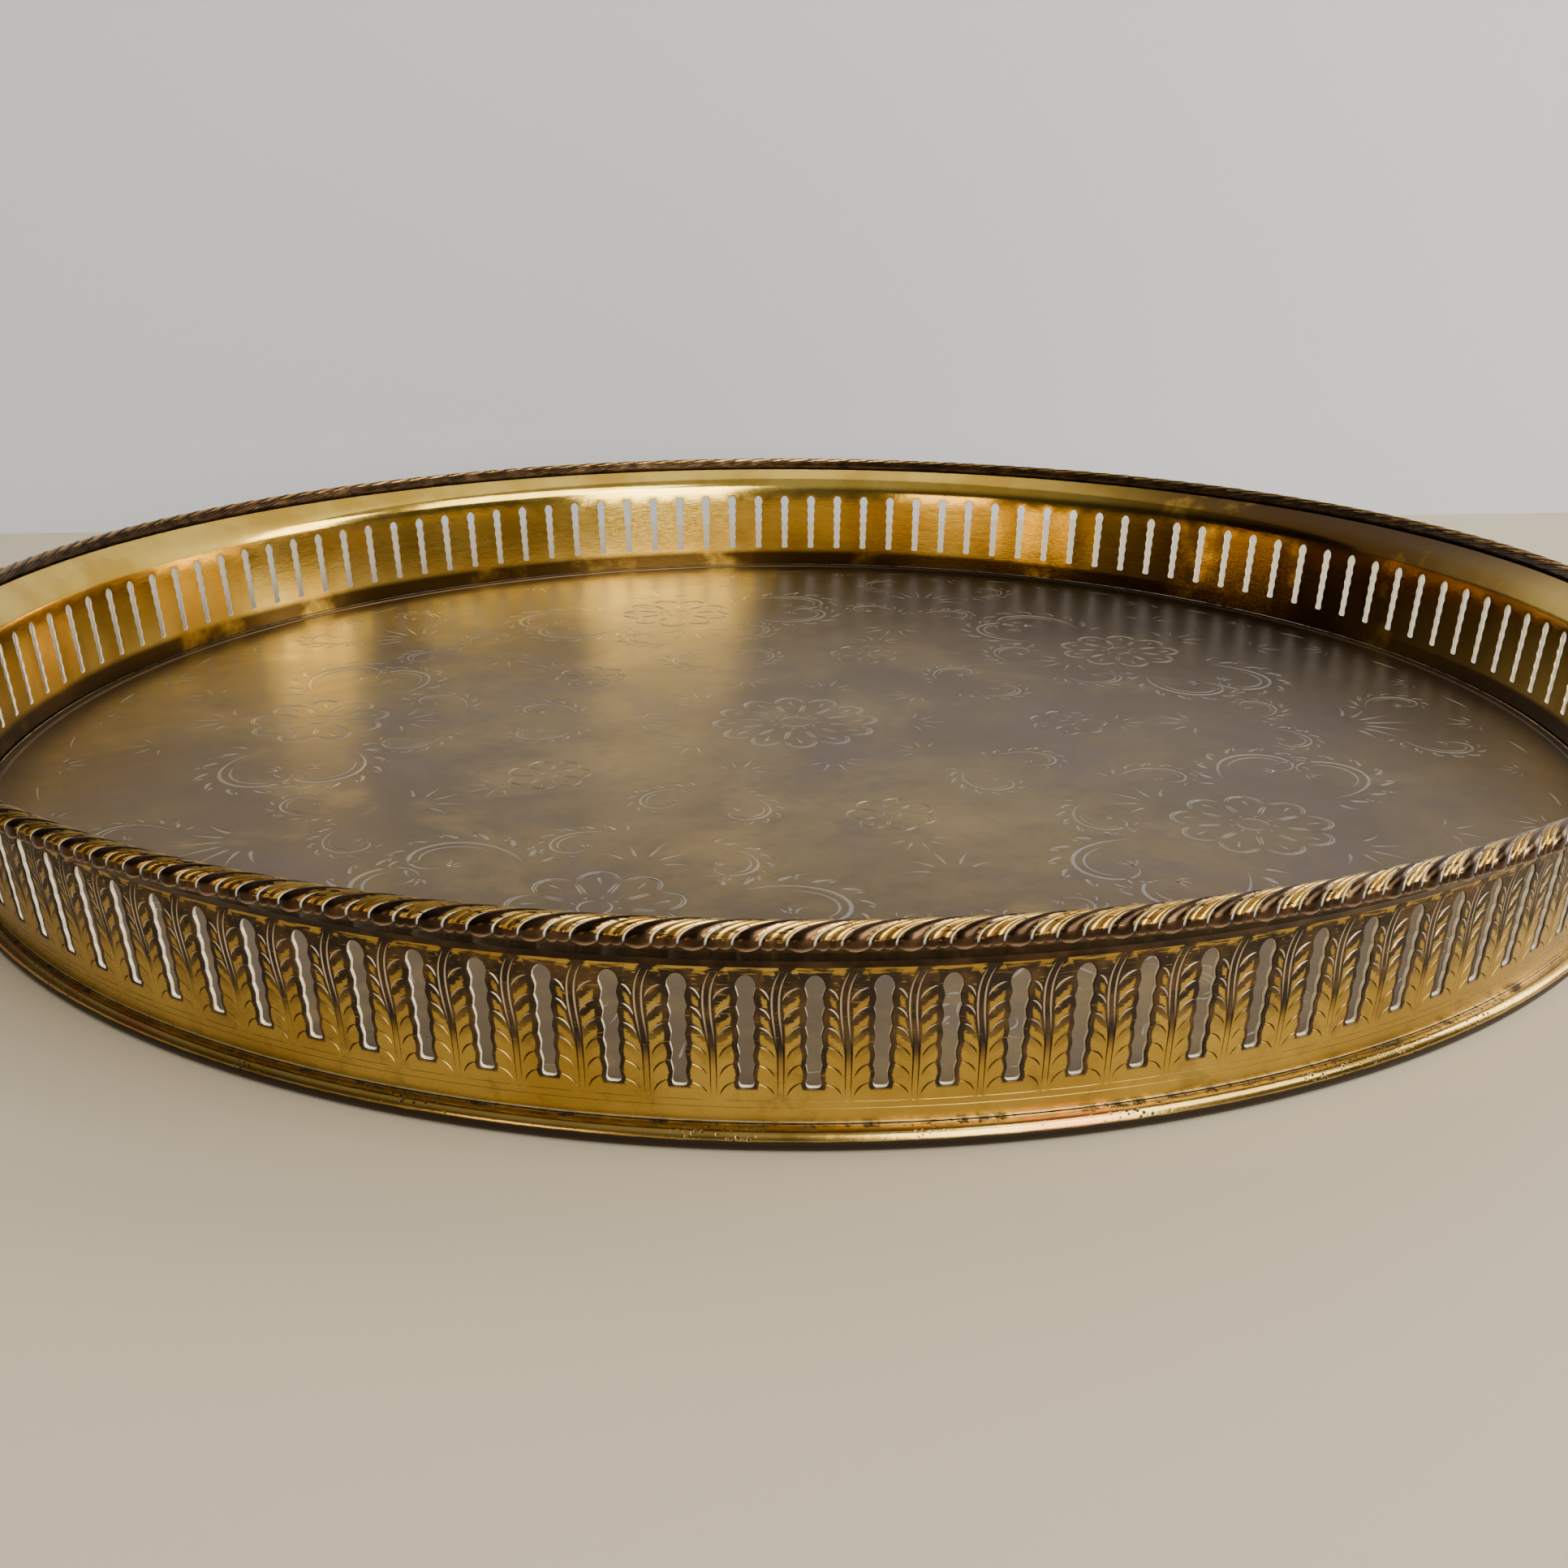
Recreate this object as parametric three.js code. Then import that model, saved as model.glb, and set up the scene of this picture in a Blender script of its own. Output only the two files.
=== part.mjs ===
// A round brass gallery tray: a floor plate inside a half-round base moulding, a pierced upright
// gallery that leans out and coves into a flare, and a gadrooned border strip closed round a wire.
// The frame is in millimetres: Z is the tray's axis and z = 0 is the surface that it stands on.
import * as THREE from "three";

// Driving dimensions.
const OVERALL_RADIUS = 165; // out to the border's roll
const OVERALL_HEIGHT = 32.9; // from the table to the top of the border
const GALLERY_RADIUS = 155; // the gallery's outer face at the slots' lower ends
const SLOT_COUNT = 126;
const FIRST_SLOT = THREE.MathUtils.degToRad(-91.44); // a slot near the front, from the X axis
const SLOT_BOTTOM_Z = 7.9;
const SLOT_HEIGHT = 15.1;
const SLOT_WIDTH = 1.95;
const SLOT_HEAD_RADIUS = 1.22; // the round head at the slot's upper end
const LEAN = THREE.MathUtils.degToRad(5.1); // the gallery leans outwards
const FLARE = THREE.MathUtils.degToRad(55); // the cove's final angle from upright
const COVE_RADIUS = 4.5;
const SHEET = 0.7; // the gallery's thickness
const ROLL_RADIUS = 1.9;
const BORDER_SHEET = 0.5;
const FLANGE_RISE = 0.5; // the border's lower edge, above the start of the gallery's cove
const WIRE_RADIUS = 1.05;
const BASE_RADIUS = 1.5; // the base moulding's half-round
const BASE_SHOULDER = 1.3; // the moulding's flat top, inwards from the middle of its half-round
const LEDGE_Z = 1.4; // the ledge that carries the floor plate
const LEDGE_WIDTH = 3;
const FLOOR_SHEET = 1.2;
const FLOOR_STEP = 0.35; // the low ridge worked near the floor plate's edge
const FLOOR_MARGIN = 1.6; // the width of that ridge
const SOLDER_GAP = 0.3; // between pieces that meet
const RING_SEGMENTS = 72;
const COVE_STEPS = 3;

const ROLL = { r: OVERALL_RADIUS - ROLL_RADIUS, z: OVERALL_HEIGHT - ROLL_RADIUS };
const BASE = { r: 155.1, z: BASE_RADIUS };
const FOOT_Z = 2 * BASE_RADIUS + SOLDER_GAP;
const PITCH_ANGLE = (2 * Math.PI) / SLOT_COUNT;

// The gallery's section, by distance s along its outer face: a leaning wall, then the cove's arc,
// then a straight flare up to the inside of the roll. tilt is the face's angle from upright.
const FLARE_LENGTH = 4.3;
const WALL_LENGTH = (SLOT_BOTTOM_Z + SLOT_HEIGHT + 1 - FOOT_Z) / Math.cos(LEAN);
const COVE_LENGTH = COVE_RADIUS * (FLARE - LEAN);
const FOOT_RADIUS = GALLERY_RADIUS - (SLOT_BOTTOM_Z - FOOT_Z) * Math.tan(LEAN);

function gallerySection(s) {
  const onWall = Math.min(s, WALL_LENGTH);
  const onCove = THREE.MathUtils.clamp(s - WALL_LENGTH, 0, COVE_LENGTH);
  const onFlare = Math.max(s - WALL_LENGTH - COVE_LENGTH, 0);
  const tilt = LEAN + onCove / COVE_RADIUS;
  const coveOut = COVE_RADIUS * (Math.cos(LEAN) - Math.cos(tilt));
  const coveUp = COVE_RADIUS * (Math.sin(tilt) - Math.sin(LEAN));
  const r = FOOT_RADIUS + onWall * Math.sin(LEAN) + coveOut + onFlare * Math.sin(tilt);
  const z = FOOT_Z + onWall * Math.cos(LEAN) + coveUp + onFlare * Math.cos(tilt);
  return { r, z, tilt };
}

// A point set back from the outer face by depth.
function galleryPoint(angle, s, depth) {
  const { r, z, tilt } = gallerySection(s);
  const radius = r - depth * Math.cos(tilt);
  return [radius * Math.cos(angle), radius * Math.sin(angle), z + depth * Math.sin(tilt)];
}

// One slot's outline, anticlockwise from its lower left corner: square below, a round head above.
// x is measured along the wall round the tray, and y is the distance s.
function slotOutline() {
  const half = SLOT_WIDTH / 2;
  const bottom = (SLOT_BOTTOM_Z - FOOT_Z) / Math.cos(LEAN);
  const top = bottom + SLOT_HEIGHT / Math.cos(LEAN);
  const headY = top - SLOT_HEAD_RADIUS;
  const points = [
    new THREE.Vector2(-half, bottom),
    new THREE.Vector2(half, bottom),
    new THREE.Vector2(half, headY - SLOT_HEAD_RADIUS),
  ];
  const headSteps = 4;
  for (let i = 0; i <= headSteps; i++) {
    const turn = (Math.PI * i) / headSteps;
    const x = SLOT_HEAD_RADIUS * Math.cos(turn);
    points.push(new THREE.Vector2(x, headY + SLOT_HEAD_RADIUS * Math.sin(turn)));
  }
  points.push(new THREE.Vector2(-half, headY - SLOT_HEAD_RADIUS));
  return points;
}

// The whole pierced band is one pitch of it, repeated round the axis.
function galleryGeometry() {
  const positions = [];
  const halfPitch = PITCH_ANGLE / 2;
  const slot = slotOutline();
  const panel = [
    new THREE.Vector2(-1, 0),
    new THREE.Vector2(1, 0),
    new THREE.Vector2(1, WALL_LENGTH),
    new THREE.Vector2(-1, WALL_LENGTH),
  ];
  const slotAngles = slot.map((p) => p.x / GALLERY_RADIUS / halfPitch);
  const slotOnPanel = slot.map((p, i) => new THREE.Vector2(slotAngles[i], p.y));
  const panelPoints = [...panel, ...slotOnPanel];
  const panelFaces = THREE.ShapeUtils.triangulateShape(panel, [slotOnPanel]);
  const coveRows = [WALL_LENGTH];
  for (let i = 1; i <= COVE_STEPS; i++) coveRows.push(WALL_LENGTH + (COVE_LENGTH * i) / COVE_STEPS);
  coveRows.push(WALL_LENGTH + COVE_LENGTH + FLARE_LENGTH);
  const topRow = coveRows[coveRows.length - 1];

  for (let k = 0; k < SLOT_COUNT; k++) {
    const centre = FIRST_SLOT + k * PITCH_ANGLE;
    const place = (x, s, depth) => galleryPoint(centre + x * halfPitch, s, depth);
    const quad = (a, b, c, d) => positions.push(...a, ...b, ...c, ...a, ...c, ...d);
    for (const face of panelFaces) {
      const [a, b, c] = face.map((i) => panelPoints[i]);
      positions.push(...place(a.x, a.y, 0), ...place(b.x, b.y, 0), ...place(c.x, c.y, 0));
      positions.push(...place(c.x, c.y, SHEET), ...place(b.x, b.y, SHEET), ...place(a.x, a.y, SHEET));
    }
    slotOnPanel.forEach((a, i) => {
      const b = slotOnPanel[(i + 1) % slotOnPanel.length];
      quad(place(a.x, a.y, 0), place(b.x, b.y, 0), place(b.x, b.y, SHEET), place(a.x, a.y, SHEET));
    });
    for (let i = 1; i < coveRows.length; i++) {
      const low = coveRows[i - 1];
      const high = coveRows[i];
      quad(place(-1, low, 0), place(1, low, 0), place(1, high, 0), place(-1, high, 0));
      quad(place(1, low, SHEET), place(-1, low, SHEET), place(-1, high, SHEET), place(1, high, SHEET));
    }
    quad(place(-1, topRow, 0), place(1, topRow, 0), place(1, topRow, SHEET), place(-1, topRow, SHEET));
    quad(place(1, 0, 0), place(-1, 0, 0), place(-1, 0, SHEET), place(1, 0, SHEET));
  }
  const geometry = new THREE.BufferGeometry();
  geometry.setAttribute("position", new THREE.Float32BufferAttribute(positions, 3));
  return geometry;
}

// An arc in the section plane, as [r, z] points.
function sectionArc(centre, radius, fromDegrees, toDegrees, steps) {
  const points = [];
  for (let i = 0; i <= steps; i++) {
    const angle = THREE.MathUtils.degToRad(fromDegrees + ((toDegrees - fromDegrees) * i) / steps);
    points.push([centre.r + radius * Math.cos(angle), centre.z + radius * Math.sin(angle)]);
  }
  return points;
}

// A closed section, anticlockwise with r to the right and z up, turned round the tray's axis.
function ringGeometry(section) {
  const profile = [...section, section[0]].map(([r, z]) => new THREE.Vector2(r, z));
  const geometry = new THREE.LatheGeometry(profile, RING_SEGMENTS);
  geometry.rotateX(Math.PI / 2); // the lathe turns round Y
  return geometry;
}

// The border strip: a flange on the outside of the cove, then a roll over the gallery's top edge.
function borderSection() {
  const flangeLow = WALL_LENGTH + FLANGE_RISE;
  const flangeHigh = WALL_LENGTH + COVE_LENGTH + FLARE_LENGTH - 1;
  const backOf = (s, stand) => {
    const { r, z, tilt } = gallerySection(s);
    return [r + stand * Math.cos(tilt), z - stand * Math.sin(tilt)];
  };
  const rollStart = -112;
  const rollEnd = 176;
  const inner = sectionArc(ROLL, ROLL_RADIUS - BORDER_SHEET, rollEnd, rollStart, 5);
  const outer = sectionArc(ROLL, ROLL_RADIUS, rollStart, rollEnd, 9);
  const flangeSteps = [flangeHigh, WALL_LENGTH + COVE_LENGTH, WALL_LENGTH + COVE_LENGTH / 2, flangeLow];
  const flangeInside = flangeSteps.map((s) => backOf(s, SOLDER_GAP));
  const flangeOutside = flangeSteps.reverse().map((s) => backOf(s, SOLDER_GAP + BORDER_SHEET));
  return [...outer, ...inner, ...flangeInside, ...flangeOutside];
}

// The base moulding: a half-round outside, a flat foot and top, and a ledge for the floor plate.
function baseSection() {
  const bulge = sectionArc(BASE, BASE_RADIUS, -90, 90, 6);
  const shoulder = BASE.r - BASE_SHOULDER;
  return [
    ...bulge,
    [shoulder, 2 * BASE_RADIUS],
    [shoulder, LEDGE_Z],
    [shoulder - LEDGE_WIDTH, LEDGE_Z],
    [shoulder - LEDGE_WIDTH, 0],
  ];
}

// The floor plate: a flat sheet with a low step up to a flat margin near its edge.
function floorGeometry() {
  const edge = BASE.r - BASE_SHOULDER - SOLDER_GAP;
  const under = LEDGE_Z + SOLDER_GAP;
  const top = under + FLOOR_SHEET;
  const stepInside = edge - FLOOR_MARGIN;
  const profile = [
    [0, under],
    [edge, under],
    [edge, top + FLOOR_STEP],
    [stepInside, top + FLOOR_STEP],
    [stepInside - FLOOR_STEP, top],
    [0, top],
  ];
  const points = profile.map(([r, z]) => new THREE.Vector2(r, z));
  const geometry = new THREE.LatheGeometry(points, RING_SEGMENTS);
  geometry.rotateX(Math.PI / 2); // the lathe turns round Y
  return geometry;
}

function piece(name, geometry, color, roughness) {
  const material = new THREE.MeshStandardMaterial({ color, roughness, metalness: 1 });
  const mesh = new THREE.Mesh(geometry, material);
  mesh.name = name;
  return mesh;
}

const tray = new THREE.Group();
tray.add(
  piece("floor_plate", floorGeometry(), 0x8a7350, 0.42),
  piece("base_moulding", ringGeometry(baseSection()), 0xc79a4c, 0.25),
  piece("gallery_band", galleryGeometry(), 0xb98b45, 0.32),
  piece("gadroon_border", ringGeometry(borderSection()), 0xa07a48, 0.35),
  piece("border_wire", ringGeometry(sectionArc(ROLL, WIRE_RADIUS, 0, 315, 7)), 0xb08d57, 0.5),
);

export default tray;
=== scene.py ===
"""A round brass gallery tray: engraved floor, polished base moulding, pierced gallery and gadroon border."""

import math

import bmesh
import bpy
import numpy as np
from mathutils import Matrix, Vector
from mathutils.geometry import delaunay_2d_cdt


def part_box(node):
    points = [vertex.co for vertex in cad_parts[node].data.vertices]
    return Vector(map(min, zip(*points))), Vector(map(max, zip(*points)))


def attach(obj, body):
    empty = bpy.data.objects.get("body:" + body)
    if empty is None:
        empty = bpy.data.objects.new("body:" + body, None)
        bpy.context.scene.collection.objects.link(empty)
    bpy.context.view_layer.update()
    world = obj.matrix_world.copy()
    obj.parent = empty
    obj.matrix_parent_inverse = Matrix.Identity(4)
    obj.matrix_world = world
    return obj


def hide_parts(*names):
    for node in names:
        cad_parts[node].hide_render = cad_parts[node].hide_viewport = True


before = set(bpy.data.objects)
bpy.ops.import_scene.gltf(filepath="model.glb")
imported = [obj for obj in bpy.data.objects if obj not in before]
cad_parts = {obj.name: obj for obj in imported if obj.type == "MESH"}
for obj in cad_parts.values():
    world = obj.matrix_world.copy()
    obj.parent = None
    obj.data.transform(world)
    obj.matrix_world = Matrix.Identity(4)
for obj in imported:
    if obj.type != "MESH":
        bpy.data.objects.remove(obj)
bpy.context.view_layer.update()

MM = 0.001  # the pieces are drawn in millimetres and placed in metres

# The tray's own sizes, in millimetres, as the frame has them.
TRAY_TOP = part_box("gadroon_border")[1].z / MM
TRAY_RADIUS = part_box("gadroon_border")[1].x / MM
GALLERY_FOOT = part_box("gallery_band")[0].z / MM
FOOT_DROP = 0.2  # the solder that fills the gap under the gallery, drawn as a longer foot
BASE_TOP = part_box("base_moulding")[1].z / MM
FLOOR_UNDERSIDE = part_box("floor_plate")[0].z / MM
FLOOR_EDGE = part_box("floor_plate")[1].x / MM
SOLDER_GAP = 0.3  # between pieces that meet

SLOT_COUNT = 126
FIRST_SLOT = math.radians(-91.44)
SLOT_FOOT = 7.9  # above the table
SLOT_HEIGHT = 15.1
SLOT_RADIUS = 155.0  # the gallery's outer face at the slots' feet
LEAN = math.radians(5.1)
FLARE = math.radians(55)
COVE_RADIUS = 4.5
FLARE_LENGTH = 4.3
SHEET = 0.7
WALL_LENGTH = (SLOT_FOOT + SLOT_HEIGHT + 1 - GALLERY_FOOT) / math.cos(LEAN)
COVE_LENGTH = COVE_RADIUS * (FLARE - LEAN)
GALLERY_LENGTH = WALL_LENGTH + COVE_LENGTH + FLARE_LENGTH
FOOT_RADIUS = SLOT_RADIUS - (SLOT_FOOT - GALLERY_FOOT) * math.tan(LEAN)
PITCH = 2 * math.pi * SLOT_RADIUS / SLOT_COUNT
SLOT_START = (SLOT_FOOT - GALLERY_FOOT) / math.cos(LEAN)  # along the gallery's section

ROLL_RADIUS = 1.9
ROLL_CENTRE = (TRAY_RADIUS - ROLL_RADIUS, TRAY_TOP - ROLL_RADIUS)
BORDER_SHEET = 0.5
FLANGE_RISE = 0.5  # the border's lower edge, above the start of the gallery's cove
FLANGE_STAND = 0.15  # the border's flange, off the gallery's face
GADROON_COUNT = 180
FIRST_GADROON = math.pi / 2 - 0.20 * (2 * math.pi / GADROON_COUNT)
BASE_RADIUS = BASE_TOP / 2
BASE_SHOULDER = 1.3  # the moulding's flat top, inwards from the middle of its half-round
LEDGE_WIDTH = 3.0  # the ledge that carries the floor


# Drawing and mesh helpers


class Drawing:
    """A flat drawing in millimetres: points with a depth and a cut share, and the lines that join them."""

    def __init__(self):
        self.points = []
        self.depths = []
        self.cuts = []
        self.lines = []
        self.outline = []

    def add(self, points, depths=None, cuts=None, closed=False):
        """Adds a chain of points and the lines along it, and returns the points' numbers."""
        first = len(self.points)
        count = len(points)
        self.points += [(float(x), float(y)) for x, y in points]
        self.depths += list(depths if depths is not None else np.zeros(count))
        self.cuts += list(cuts if cuts is not None else np.zeros(count))
        self.lines += [(i, i + 1) for i in range(first, first + count - 1)]
        if closed:
            self.lines.append((first + count - 1, first))
        return list(range(first, first + count))

    def groove(self, path, width, depth, headed=False):
        """A V-shaped cut along a path, pointed at both ends, or with a round head where it starts.
        width may be one number or one per point."""
        path = np.asarray(path, float)
        along = np.gradient(path, axis=0)
        across = np.stack([-along[:, 1], along[:, 0]], 1) / np.linalg.norm(along, axis=1)[:, None]
        share = np.linspace(0, 1, len(path))
        swell = np.sqrt(np.sin(np.pi * share).clip(0, 1))
        if headed:
            swell = np.minimum(1, 5 * share) * (1 - share) ** 0.7
        offset = across * (swell * width / 2)[:, None]
        middle = self.add(path, swell * depth, swell)
        for side in (-1, 1):
            edge = self.add((path + side * offset)[1:-1])
            self.lines += [(middle[0], edge[0]), (edge[-1], middle[-1])]

    def skin(self):
        """The triangles inside the outline, with each point's number in the drawing, or -1 for a crossing."""
        flat = [Vector(p) for p in self.points]
        found = delaunay_2d_cdt(flat, self.lines, [self.outline], 0, 1e-6, True)
        points, _, faces, origins, _, owners = found
        numbers = np.array([o[0] if o else -1 for o in origins])
        corners = np.array(points)
        triangles = np.array([face for face, owner in zip(faces, owners) if owner])
        a, b, c = (corners[triangles[:, i]] for i in range(3))
        area = (b - a)[:, 0] * (c - a)[:, 1] - (b - a)[:, 1] * (c - a)[:, 0]
        triangles[area < 0] = triangles[area < 0][:, ::-1]
        depths = np.where(numbers < 0, 0, np.array(self.depths)[numbers])
        cuts = np.where(numbers < 0, 0, np.array(self.cuts)[numbers])
        return corners, triangles, depths, cuts, numbers


def mesh_object(name, points, faces, uv=None, attributes=(), smooth_angle=30):
    """A closed mesh from points in millimetres. uv has one row per face corner."""
    mesh = bpy.data.meshes.new(name)
    mesh.from_pydata((np.asarray(points) * MM).tolist(), [], faces)
    if uv is not None:
        mesh.uv_layers.new(name="pattern").data.foreach_set("uv", np.asarray(uv, np.float32).ravel())
    for label, values in attributes:
        mesh.attributes.new(label, "FLOAT", "POINT").data.foreach_set("value", np.asarray(values, np.float32))
    shape = bmesh.new()
    shape.from_mesh(mesh)
    bmesh.ops.remove_doubles(shape, verts=shape.verts, dist=0.002 * MM)
    bmesh.ops.recalc_face_normals(shape, faces=shape.faces)
    shape.to_mesh(mesh)
    shape.free()
    piece = bpy.data.objects.new(name, mesh)
    bpy.context.scene.collection.objects.link(piece)
    bpy.ops.object.select_all(action="DESELECT")
    piece.select_set(True)
    bpy.context.view_layer.objects.active = piece
    bpy.ops.object.shade_smooth_by_angle(angle=math.radians(smooth_angle))
    return piece


def round_ring(angles, radii, heights):
    """Points on rings about the tray's axis; the arguments are arrays of one shape."""
    return np.stack([radii * np.cos(angles), radii * np.sin(angles), heights], -1)


def arc(centre, radius, start, end, steps):
    """Points on an arc in the section plane, as (r, z) rows. Angles in degrees."""
    turn = np.radians(np.linspace(start, end, steps + 1))
    return np.stack([centre[0] + radius * np.cos(turn), centre[1] + radius * np.sin(turn)], 1)


def spun_ring(name, section, steps):
    """A closed section in the XZ plane, spun round the tray's axis in edit mode."""
    outline = bpy.data.meshes.new(name)
    count = len(section)
    corners = [(r * MM, 0, z * MM) for r, z in section]
    outline.from_pydata(corners, [(i, (i + 1) % count) for i in range(count)], [])
    ring = bpy.data.objects.new(name, outline)
    bpy.context.scene.collection.objects.link(ring)
    bpy.ops.object.select_all(action="DESELECT")
    ring.select_set(True)
    bpy.context.view_layer.objects.active = ring
    bpy.ops.object.mode_set(mode="EDIT")
    bpy.ops.mesh.select_all(action="SELECT")
    bpy.ops.mesh.spin(steps=steps, angle=2 * math.pi, center=(0, 0, 0), axis=(0, 0, 1))
    bpy.ops.mesh.select_all(action="SELECT")
    bpy.ops.mesh.remove_doubles(threshold=0.002 * MM)
    bpy.ops.mesh.normals_make_consistent(inside=False)
    bpy.ops.object.mode_set(mode="OBJECT")
    bpy.ops.object.shade_smooth_by_angle(angle=math.radians(40))
    return ring


# The pierced gallery


def gallery_point(angle, s, depth):
    """A point of the gallery: s runs up its section from the foot, depth goes in from the outer face."""
    on_wall = np.minimum(s, WALL_LENGTH)
    on_cove = np.clip(s - WALL_LENGTH, 0, COVE_LENGTH)
    on_flare = np.maximum(s - WALL_LENGTH - COVE_LENGTH, 0)
    tilt = LEAN + on_cove / COVE_RADIUS
    cove_out = COVE_RADIUS * (math.cos(LEAN) - np.cos(tilt))
    cove_up = COVE_RADIUS * (np.sin(tilt) - math.sin(LEAN))
    r = FOOT_RADIUS + on_wall * math.sin(LEAN) + cove_out + on_flare * np.sin(tilt) - depth * np.cos(tilt)
    z = GALLERY_FOOT + on_wall * math.cos(LEAN) + cove_up + on_flare * np.cos(tilt) + depth * np.sin(tilt)
    return round_ring(angle, r, z)


NOTCHES = 6  # on each side of a slot
FIRST_NOTCH = 0.65  # above the slot's foot
NOTCH_STEP = 2.56
SLOT_HALF = 0.90  # half the slot's width at its first notch
SLOT_SPREAD = 0.05  # and how much wider it is at each next one


def notch(k):
    """Half the slot's width and the height at notch k, counted from its foot."""
    return SLOT_HALF + SLOT_SPREAD * k, FIRST_NOTCH + NOTCH_STEP * k


SLOT_BEVEL = 0.15  # the slots' edges are worn round
BEVEL_DEPTH = 0.2


def slot_side(grow):
    """One side of a slot from the middle of its foot to the middle of its head: (half-width, height)."""
    side = [(0.0, 0.0)]
    side += [(0.44 + 0.42 * math.sin(a), 0.42 - 0.42 * math.cos(a)) for a in np.radians([0, 45, 80])]
    for k in range(NOTCHES - 1):
        for share in (0, 0.2, 0.5, 0.8):
            low, high = notch(k), notch(k + 1)
            dip = (0.22 + 0.02 * k) * (0.6 * math.sin(math.pi * share) + 0.4 * math.sin(math.pi * share) ** 2)
            side.append((low[0] + (high[0] - low[0]) * share - dip, low[1] + NOTCH_STEP * share))
    head, head_foot = notch(NOTCHES - 1)
    rise = SLOT_HEIGHT - head_foot
    side += [(head * math.cos(a), head_foot + rise * math.sin(a)) for a in np.radians([0, 22, 45, 68, 90])]
    side[-1] = (0.0, SLOT_HEIGHT)
    side = np.array(side)
    along = np.gradient(side, axis=0)
    away = np.stack([along[:, 1], -along[:, 0]], 1) / np.linalg.norm(along, axis=1)[:, None]
    side += grow * away
    side[[0, -1], 0] = 0.0
    return side


# The stem between two slots: across in shares of the pitch, up in shares of the slots' height.
STEM_FOOT = 0.51
STEM_LEAN = 0.08
LEAN_START, LEAN_END = 0.25, 0.75
STEM_BEND = 0.18
BEND_START, BEND_RISE, BEND_POWER = 0.76, 0.32, 2.4


def stem_middle(height):
    """Where the stem stands at a height above the slots' feet: it leans, then bends over at the top."""
    share = height / SLOT_HEIGHT
    lean = np.clip((share - LEAN_START) / (LEAN_END - LEAN_START), 0, 1)
    bend = np.clip((share - BEND_START) / BEND_RISE, 0, 1.2)
    return PITCH * (STEM_FOOT - STEM_LEAN * lean * lean * (3 - 2 * lean) + STEM_BEND * bend**BEND_POWER)


def stem_lines():
    """The two engraved lines of one stem, with their widths."""
    height = np.concatenate([np.linspace(-1.9, 9.0, 6), np.linspace(10.0, 16.1, 9)])
    share = (height + 1.9) / 18.0
    for side in (-1, 1):
        x = stem_middle(height) + side * (0.32 + 0.12 * share)
        yield np.stack([x, SLOT_START + height], 1), 0.22 + 0.16 * share


def vein_lines():
    """The engraved veins that run in and down from the slots' notches to the stem."""
    t = np.linspace(0, 1, 6)[:, None]
    for k in range(NOTCHES):
        half, height = notch(k)
        for side, lift, drop in ((-1, 0.0, 1.75), (1, 0.2, 2.1)):
            edge = half + 0.28 if side < 0 else PITCH - half - 0.28
            start = np.array([edge, SLOT_START + height + lift])
            end_x = stem_middle(height - drop) + side * 0.66
            end = np.array([end_x, start[1] - drop])
            bow = np.array([start[0] + 0.78 * (end[0] - start[0]), start[1] - 0.12 * drop])
            path = (1 - t) ** 2 * start + 2 * t * (1 - t) * bow + t**2 * end
            yield path, 0.24 + 0.02 * k


def panel_outline(grow):
    """The outline of one pitch, from slot centre to slot centre, anticlockwise as seen from outside.
    Returns its points, and for each whether a cut edge runs from it to the next."""
    scored = [SLOT_START + h for h in (-2.76, -2.7, -2.64, -1.81, -1.75, -1.69)]
    cove = list(WALL_LENGTH + COVE_LENGTH * np.linspace(0, 1, 6))
    cove += [WALL_LENGTH + COVE_LENGTH + FLARE_LENGTH / 2]
    side = [(half, SLOT_START + height) for half, height in slot_side(grow)]
    points = [(0, 0), (PITCH / 2, 0), (PITCH, 0)]
    cut = [True, True, False]
    points += [(PITCH, s) for s in scored]
    cut += [False] * len(scored)
    points += [(PITCH - half, s) for half, s in side]
    cut += [True] * (len(side) - 1) + [False]
    points += [(PITCH, s) for s in cove]
    cut += [False] * len(cove)
    points += [(PITCH, GALLERY_LENGTH), (PITCH / 2, GALLERY_LENGTH), (0, GALLERY_LENGTH)]
    cut += [True, True, False]
    points += [(0, s) for s in reversed(cove)]
    cut += [False] * len(cove)
    points += [(half, s) for half, s in reversed(side)]
    cut += [True] * (len(side) - 1) + [False]
    points += [(0, s) for s in reversed(scored)]
    cut += [False] * len(scored)
    return points, cut, scored, cove


def gallery_panel(engraved):
    """One pitch of the gallery's outer skin, or of its plain inner skin."""
    drawing = Drawing()
    points, _, scored, cove = panel_outline(SLOT_BEVEL if engraved else 0.0)
    outline = drawing.outline = drawing.add(points, closed=True)
    at = {(round(points[i][0], 4), round(points[i][1], 4)): i for i in outline}

    def across(s, depth):
        """A line across the whole pitch."""
        ends = [at[(round(x, 4), round(s, 4))] for x in (0, PITCH)]
        cut = min(depth * 12, 1)
        inside = drawing.add([(PITCH * share, s) for share in (0.25, 0.5, 0.75)], [depth] * 3, [cut] * 3)
        drawing.lines += [(ends[0], inside[0]), (inside[-1], ends[1])]
        for end in ends:
            drawing.depths[end] = depth
            drawing.cuts[end] = cut

    for s in cove:
        across(s, 0)
    if engraved:
        for i, s in enumerate(scored):
            across(s, 0.04 if i % 3 == 1 else 0)
        for path, width in stem_lines():
            drawing.groove(path, width, 0.20)
        for path, width in vein_lines():
            drawing.groove(path, width, 0.13)
    return drawing.skin()


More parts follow.
